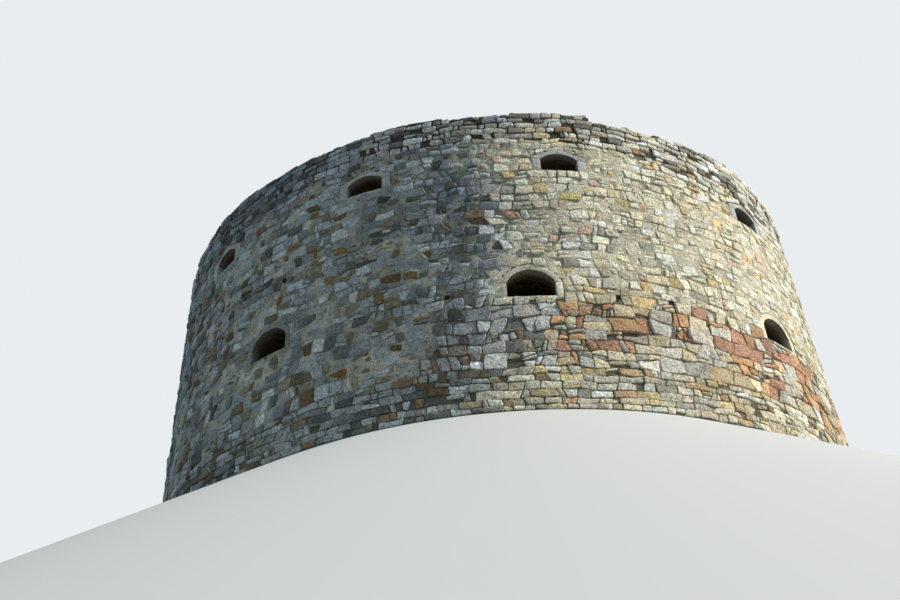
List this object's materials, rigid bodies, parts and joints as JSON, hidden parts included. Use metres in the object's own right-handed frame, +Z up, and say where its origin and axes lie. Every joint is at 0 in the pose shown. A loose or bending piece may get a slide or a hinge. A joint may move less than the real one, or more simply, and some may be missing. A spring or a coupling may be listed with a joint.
{
  "type": "masonry artillery tower",
  "caption": "Round open-topped artillery tower of rubble masonry: battered ring wall, tiers of arched embrasures, vaulted gallery round a central pier, open gun platform.",
  "frame": {"origin": "middle of the foot, at the level of the lowest ground", "axes": "+Z up; the face of the picture looks along -Y; +X to the right of somebody who looks at that face"},
  "size_m": [24.344, 24.3438, 11.2],
  "materials": {
    "rubble_masonry": "rough rubble in lime mortar",
    "dressed_stone": "tooled blocks",
    "paving": "worn flags",
    "inner_masonry": "rough rubble",
    "rubble_fill": "packed rubble and earth"
  },
  "bodies": {
    "root": {"band_wall_1": "rubble_masonry", "band_wall_2": "rubble_masonry", "band_wall_3": "rubble_masonry", "band_wall_4": "rubble_masonry", "band_wall_5": "rubble_masonry", "band_wall_6": "rubble_masonry", "base_fill": "rubble_fill", "base_wall_1": "rubble_masonry", "base_wall_2": "rubble_masonry", "base_wall_3": "rubble_masonry", "base_wall_4": "rubble_masonry", "base_wall_5": "rubble_masonry", "base_wall_6": "rubble_masonry", "central_pier": "inner_masonry", "doorway_arch_stones": "dressed_stone", "doorway_footing": "rubble_masonry", "doorway_jamb_stones": "dressed_stone", "doorway_vault": "rubble_masonry", "gallery_floor": "paving", "gallery_vault_1": "inner_masonry", "gallery_vault_2": "inner_masonry", "gallery_vault_3": "inner_masonry", "gallery_vault_4": "inner_masonry", "lower_arch_stones": "dressed_stone", "lower_embrasure_vaults": "rubble_masonry", "lower_jamb_stones": "dressed_stone", "lower_piers": "rubble_masonry", "parapet_wall_1": "rubble_masonry", "parapet_wall_2": "rubble_masonry", "parapet_wall_3": "rubble_masonry", "parapet_wall_4": "rubble_masonry", "parapet_wall_5": "rubble_masonry", "parapet_wall_6": "rubble_masonry", "platform_paving": "paving", "upper_arch_stones": "dressed_stone", "upper_embrasure_vaults": "rubble_masonry", "upper_jamb_stones": "dressed_stone", "upper_piers": "rubble_masonry", "wall_head_1": "rubble_masonry", "wall_head_2": "rubble_masonry", "wall_head_3": "rubble_masonry", "wall_head_4": "rubble_masonry", "wall_head_5": "rubble_masonry", "wall_head_6": "rubble_masonry"}
  },
  "joints": []
}
